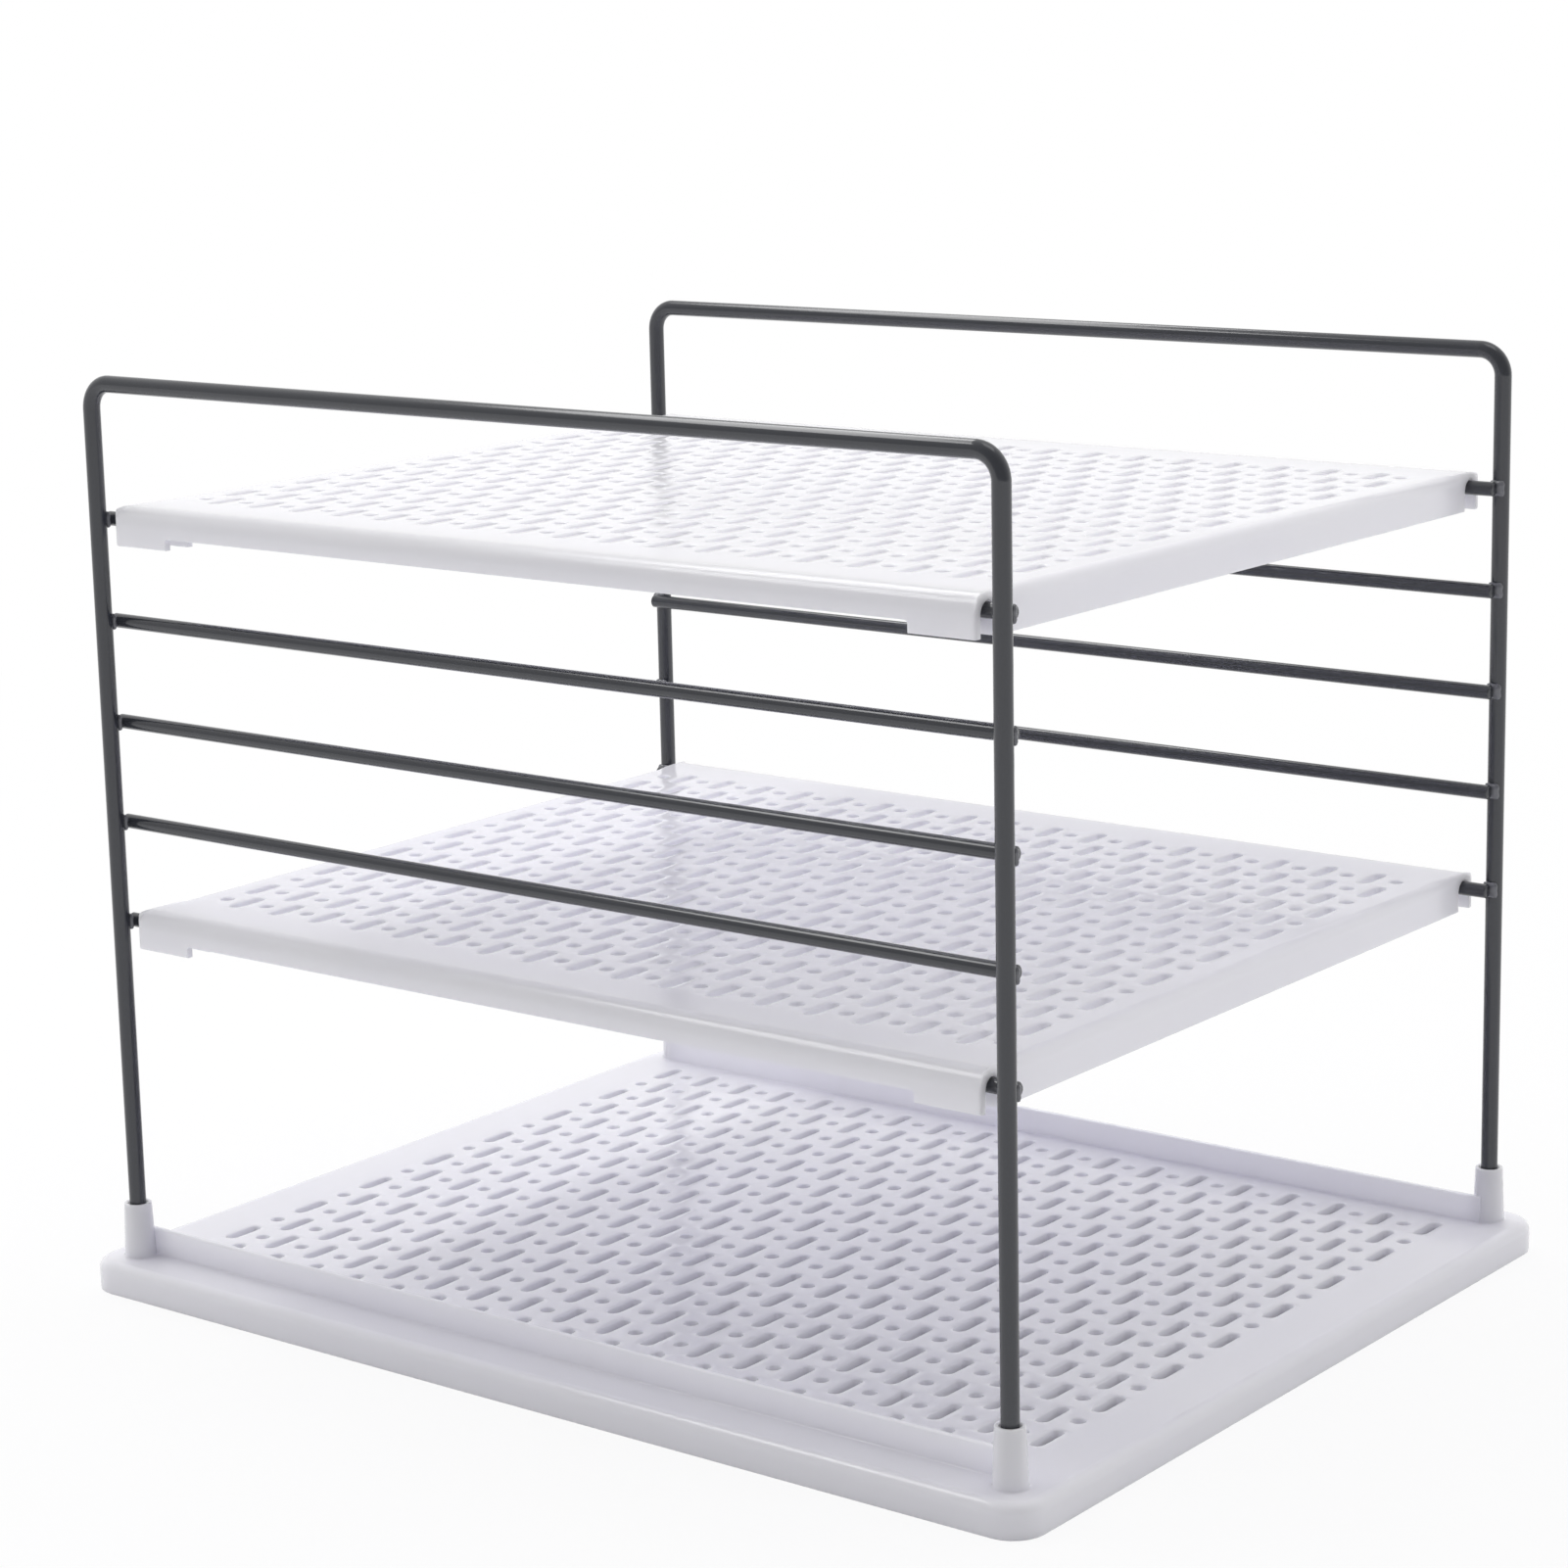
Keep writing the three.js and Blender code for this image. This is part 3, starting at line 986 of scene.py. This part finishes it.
@dataclass
class WireFrame:
    """One side frame: a bent wire with five rungs welded to the inner side of its legs."""

    side: Side
    bend_radius: float = 6.0 * MM
    bend_steps: int = 14
    wire_sides: int = 28
    rung_count: int = 5
    rung_chamfer: float = 0.25 * MM
    bead_radius: float = 2.1 * MM
    bead_thickness: float = 0.8 * MM
    bead_lobes: float = 0.14  # how far the bead is squeezed out into the corners, as a share
    bead_corners: int = 4
    bead_sides: int = 24
    bead_steps: int = 8

    def bent_wire(self, line: Mesh, radius: float, material: Material) -> Mesh:
        """Bends a wire along a line with corners.

        Args:
            line: The line, which is used up.
            radius: Radius of the wire.
            material: Its finish.

        Returns:
            The mesh of the wire.
        """
        shape = ShapeTree(
            f"{self.side.value}_bent_wire",
            {"Wire Radius": radius, "Bend Radius": self.bend_radius, "Material": material},
        )
        tree, sizes = shape.tree, shape.inputs
        path = add(tree, "GeometryNodeMeshToCurve", {"Mesh": sizes["Geometry"]})
        bend = {"Curve": path, "Count": self.bend_steps, "Radius": sizes["Bend Radius"]}
        bent = add(tree, "GeometryNodeFilletCurve", bend, mode="POLY")
        circle = {"Resolution": self.wire_sides, "Radius": sizes["Wire Radius"]}
        section = add(tree, "GeometryNodeCurvePrimitiveCircle", circle)
        sweep = {"Curve": bent, "Profile Curve": section, "Fill Caps": True}
        shape.end(add(tree, "GeometryNodeCurveToMesh", sweep))
        return shape.run(line)

    def ladder(self, mesh: Mesh, starts: Sequence[Place], pitch: float, material: Material) -> Mesh:
        """Repeats an item up the frame, once for each rung.

        Args:
            mesh: The item.
            starts: Its places at the lowest rung.
            pitch: Height from one rung to the next.
            material: The finish of the items.

        Returns:
            The mesh of all the items.
        """
        item = linked(mesh.name, mesh)
        shape = ShapeTree(
            f"{self.side.value}_ladder",
            {"Item": item, "Count": self.rung_count, "Pitch": pitch, "Material": material},
        )
        tree, sizes = shape.tree, shape.inputs
        step = add(tree, "ShaderNodeCombineXYZ", {"Z": sizes["Pitch"]})
        rise = add(
            tree, "GeometryNodeMeshLine", {"Count": sizes["Count"], "Offset": step}, mode="OFFSET"
        )
        columns = {"Points": sizes["Geometry"], "Instance": rise}
        rows = add(tree, "GeometryNodeInstanceOnPoints", columns)
        places = add(tree, "GeometryNodeRealizeInstances", {"Geometry": rows})
        shown = add(tree, "GeometryNodeObjectInfo", {"Object": sizes["Item"]})
        copies = {"Points": places, "Instance": shown.outputs["Geometry"]}
        shape.end(add(tree, "GeometryNodeInstanceOnPoints", copies))
        points = bpy.data.meshes.new(mesh.name)
        points.from_pydata(starts, [], [])
        repeated = shape.run(points)
        bpy.data.objects.remove(item)
        return repeated

    def rung(self, radius: float, length: float) -> Mesh:
        """Makes one rung along Y, with its cut ends broken by a small chamfer.

        Args:
            radius: Radius of the rung.
            length: Its length.

        Returns:
            The mesh, with its middle at the origin.
        """
        end, cut = length / 2, self.rung_chamfer
        lower = [(0.0, -end), (radius - cut, -end), (radius, cut - end)]
        profile = lower + [(r, -z) for r, z in reversed(lower)]
        shell = bmesh.new()
        turned(shell, profile, Vector(), self.wire_sides)
        lying = Matrix.Rotation(math.pi / 2, 4, "X")
        bmesh.ops.transform(shell, matrix=lying, verts=shell.verts)
        return meshed(shell, "rung")

    def weld_bead(self) -> Mesh:
        """Makes the bead that is squeezed out between a leg and a rung, flat in X."""
        turns = [math.tau * side / self.bead_sides for side in range(self.bead_sides)]
        rings = []
        for step in range(self.bead_steps + 1):
            lean = math.pi * (step / self.bead_steps - 0.5)
            height = self.bead_thickness * math.sin(lean)
            ring = []
            for turn in turns:
                lobe = 1 - self.bead_lobes * math.cos(self.bead_corners * turn)
                radius = self.bead_radius * lobe * math.cos(lean)
                ring.append(Vector((radius * math.cos(turn), radius * math.sin(turn), height)))
            rings.append(ring)
        shell = bmesh.new()
        loft(shell, rings)
        facing_x = Matrix.Rotation(math.pi / 2, 4, "Y")
        bmesh.ops.transform(shell, matrix=facing_x, verts=shell.verts)
        return meshed(shell, "weld_bead")

    def build(self, material: Material, weld: Material) -> None:
        """Bends the wire, welds the rungs to it and puts both on the stand.

        Args:
            material: The finish of the wires.
            weld: The finish of the weld beads, painted paler than the wires as a highlight.
        """
        side = self.side.value
        wire_node = f"{side}_frame_wire"
        low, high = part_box(wire_node)
        wire_radius = (high.x - low.x) / 2
        wire_x = (high.x + low.x) / 2
        leg_y = high.y - wire_radius
        top_z = high.z - wire_radius
        corners = [(-leg_y, low.z), (-leg_y, top_z), (leg_y, top_z), (leg_y, low.z)]
        line = bpy.data.meshes.new(wire_node)
        line.from_pydata([(wire_x, y, z) for y, z in corners], [(0, 1), (1, 2), (2, 3)], [])
        wire = self.bent_wire(line, wire_radius, material)
        place_piece(f"{side}_bent_wire", evenly_shaded(wire), STAND_BODY, [wire_node])

        bars = [f"{side}_bar_{number}" for number in range(1, self.rung_count + 1)]
        boxes = [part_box(bar) for bar in bars]
        heights = sorted((low.z + high.z) / 2 for low, high in boxes)
        lowest = heights[0]
        pitch = (heights[-1] - lowest) / (len(bars) - 1)
        low, high = boxes[0]
        rung_x = (low.x + high.x) / 2
        contact_x = wire_x + math.copysign(wire_radius, rung_x - wire_x)
        rung = self.rung((high.x - low.x) / 2, high.y - low.y)
        welds = [(contact_x, -leg_y, lowest), (contact_x, leg_y, lowest)]
        for label, mesh, starts, nodes, finish in (
            ("rungs", rung, [(rung_x, 0.0, lowest)], bars, material),
            ("weld_beads", self.weld_bead(), welds, [], weld),
        ):
            made = evenly_shaded(self.ladder(mesh, starts, pitch, finish))
            place_piece(f"{side}_{label}", made, STAND_BODY, nodes)


@dataclass(frozen=True)
class Softbox:
    """A large soft lamp that points at the middle of the shelf."""

    name: str
    place: Place
    width: float
    height: float
    power: float
    mirrored: bool = True  # whether glossy surfaces show the lamp itself

    def hang(self, aim: Vector) -> None:
        """Hangs the lamp.

        Args:
            aim: The point that it is turned to.
        """
        light = bpy.data.lights.new(self.name, "AREA")
        light.shape = "RECTANGLE"
        light.size = self.width
        light.size_y = self.height
        light.energy = self.power
        lamp = bpy.data.objects.new(self.name, light)
        lamp.location = self.place
        lamp.rotation_mode = "QUATERNION"
        lamp.rotation_quaternion = (aim - lamp.location).to_track_quat("-Z", "Y")
        lamp.visible_camera = False
        lamp.visible_glossy = self.mirrored
        bpy.context.scene.collection.objects.link(lamp)


@dataclass
class Studio:
    """A pale floor, soft light and the camera that looks at the shelf's front left corner."""

    floor_size: float = 6.0
    floor_tone: str = "#FAFAFC"
    floor_glow: float = 0.88  # share of plain white in what the eye sees of the floor near by
    floor_fade: tuple[float, float] = (0.3, 0.9)  # where the floor fades to white, from the shelf
    ambient: float = 1.12
    dim_side: Place = (-0.79, -0.61, 0.0)  # the room behind the camera
    dim_reach: tuple[float, float] = (-0.6, 0.8)  # where the room turns dim, by the cosine to it
    dim_level: float = 0.3
    aim: Place = (0.0, 0.0, 0.1)
    softboxes: tuple[Softbox, ...] = (
        Softbox("overhead_softbox", (0.1, -0.2, 1.7), 0.8, 0.8, 2.4),
        Softbox("strip_softbox", (0.0, 1.05, 1.62), 2.0, 0.3, 8.0),
        Softbox("right_softbox", (1.0, -0.8, 0.6), 1.2, 1.2, 0.7, mirrored=False),
    )
    camera_place: Place = (-717.1 * MM, -552.5 * MM, 315.5 * MM)
    camera_azimuth: float = -52.04  # heading from +Y, counted towards -X, in degrees
    camera_drop: float = 12.17  # degrees below level
    camera_roll: float = -1.23
    camera_lens: float = 89.83
    camera_sensor: float = 36.0

    def seen_by_eye(self, tree: NodeTree) -> Node:
        """Finds the rays that show a surface to the eye, straight or in a mirror.

        Args:
            tree: The tree that gets the nodes.

        Returns:
            The node that gives 1 for such rays and 0 for the others.
        """
        path = add(tree, "ShaderNodeLightPath").outputs
        mirrors = {0: path["Is Glossy Ray"], 1: path["Is Transmission Ray"]}
        mirrored = add(tree, "ShaderNodeMath", mirrors, operation="MAXIMUM")
        straight = path["Is Camera Ray"]
        return add(tree, "ShaderNodeMath", {0: straight, 1: mirrored}, operation="MAXIMUM")

    def lay_floor(self) -> None:
        """Lays the floor, near white to the eye but with the shelf's shadow on it."""
        half = self.floor_size / 2
        mesh = bpy.data.meshes.new("studio_floor")
        mesh.from_pydata(
            [(-half, -half, 0), (half, -half, 0), (half, half, 0), (-half, half, 0)],
            [],
            [(0, 1, 2, 3)],
        )
        material = bpy.data.materials.new("matt_paper_floor")
        tree = blank_tree(material)
        paper = add(tree, "ShaderNodeBsdfDiffuse", {"Color": linear(self.floor_tone)})
        glow = add(tree, "ShaderNodeEmission", {"Color": WHITE, "Strength": 1.0})
        place = add(tree, "ShaderNodeTexCoord").outputs["Object"]
        distance = add(tree, "ShaderNodeVectorMath", {0: place}, operation="LENGTH")
        ramp = {"Value": distance, "To Min": self.floor_glow, "To Max": 1.0}
        ramp |= zip(RAMP_ENDS, self.floor_fade)
        fade = add(tree, "ShaderNodeMapRange", ramp, interpolation_type="SMOOTHSTEP")
        shares = {0: self.seen_by_eye(tree), 1: fade}
        share = add(tree, "ShaderNodeMath", shares, operation="MULTIPLY")
        surface = add(tree, "ShaderNodeMixShader", {0: share, 1: paper, 2: glow})
        add(tree, "ShaderNodeOutputMaterial", {"Surface": surface})
        mesh.materials.append(material)
        linked("studio_floor", mesh)

    def light(self) -> None:
        """Sets the ambient light, the white background and the softboxes."""
        world = bpy.data.worlds.new("white_studio")
        bpy.context.scene.world = world
        tree = blank_tree(world)
        heading = add(tree, "ShaderNodeTexCoord").outputs["Generated"]
        sides = {0: heading, 1: self.dim_side}
        toward = add(tree, "ShaderNodeVectorMath", sides, operation="DOT_PRODUCT")
        ramp = {"Value": toward, "To Min": 1.0, "To Max": self.dim_level}
        ramp |= zip(RAMP_ENDS, self.dim_reach)
        room = add(tree, "ShaderNodeMapRange", ramp, interpolation_type="SMOOTHSTEP")
        straight = add(tree, "ShaderNodeLightPath").outputs["Is Camera Ray"]
        clear = add(tree, "ShaderNodeMath", {0: room, 1: straight}, operation="MAXIMUM")
        level = add(tree, "ShaderNodeMath", {0: room, 1: self.ambient}, operation="MULTIPLY")
        lit = add(tree, "ShaderNodeBackground", {"Color": WHITE, "Strength": level})
        shown = add(tree, "ShaderNodeBackground", {"Color": WHITE, "Strength": clear})
        sky = add(tree, "ShaderNodeMixShader", {0: self.seen_by_eye(tree), 1: lit, 2: shown})
        add(tree, "ShaderNodeOutputWorld", {"Surface": sky})
        for softbox in self.softboxes:
            softbox.hang(Vector(self.aim))

    def set_camera(self) -> None:
        """Sets the camera where the photograph was taken from."""
        data = bpy.data.cameras.new("camera")
        data.sensor_width = self.camera_sensor
        data.lens = self.camera_lens
        camera = bpy.data.objects.new("camera", data)
        heading, drop = math.radians(self.camera_azimuth), math.radians(self.camera_drop)
        level = Matrix.Rotation(heading, 3, "Z") @ Matrix.Rotation(math.pi / 2 - drop, 3, "X")
        rolled = level @ Matrix.Rotation(math.radians(self.camera_roll), 3, "Z")
        camera.matrix_world = Matrix.LocRotScale(Vector(self.camera_place), rolled, None)
        bpy.context.scene.collection.objects.link(camera)
        bpy.context.scene.camera = camera

    def build(self) -> None:
        """Sets up the floor, the light, the camera and plain colour rendering."""
        self.lay_floor()
        self.light()
        self.set_camera()
        bpy.context.scene.view_settings.view_transform = "Standard"


def main() -> None:
    """Builds the shelf piece by piece, then the studio around it."""
    logging.basicConfig(level=logging.INFO, format="%(name)s: %(message)s")
    plastic = MouldedPlastic().material()
    coat = CoatedWire().material()
    # the weld beads get a paler finish than the wires, a painted highlight for their glints
    weld = BEAD_COAT_WITH_PAINTED_HIGHLIGHT.material()
    BaseTray().build(plastic)
    HungShelf().build(plastic)
    for side in Side:
        WireFrame(side).build(coat, weld)
    Studio().build()


if __name__ == "__main__":
    main()
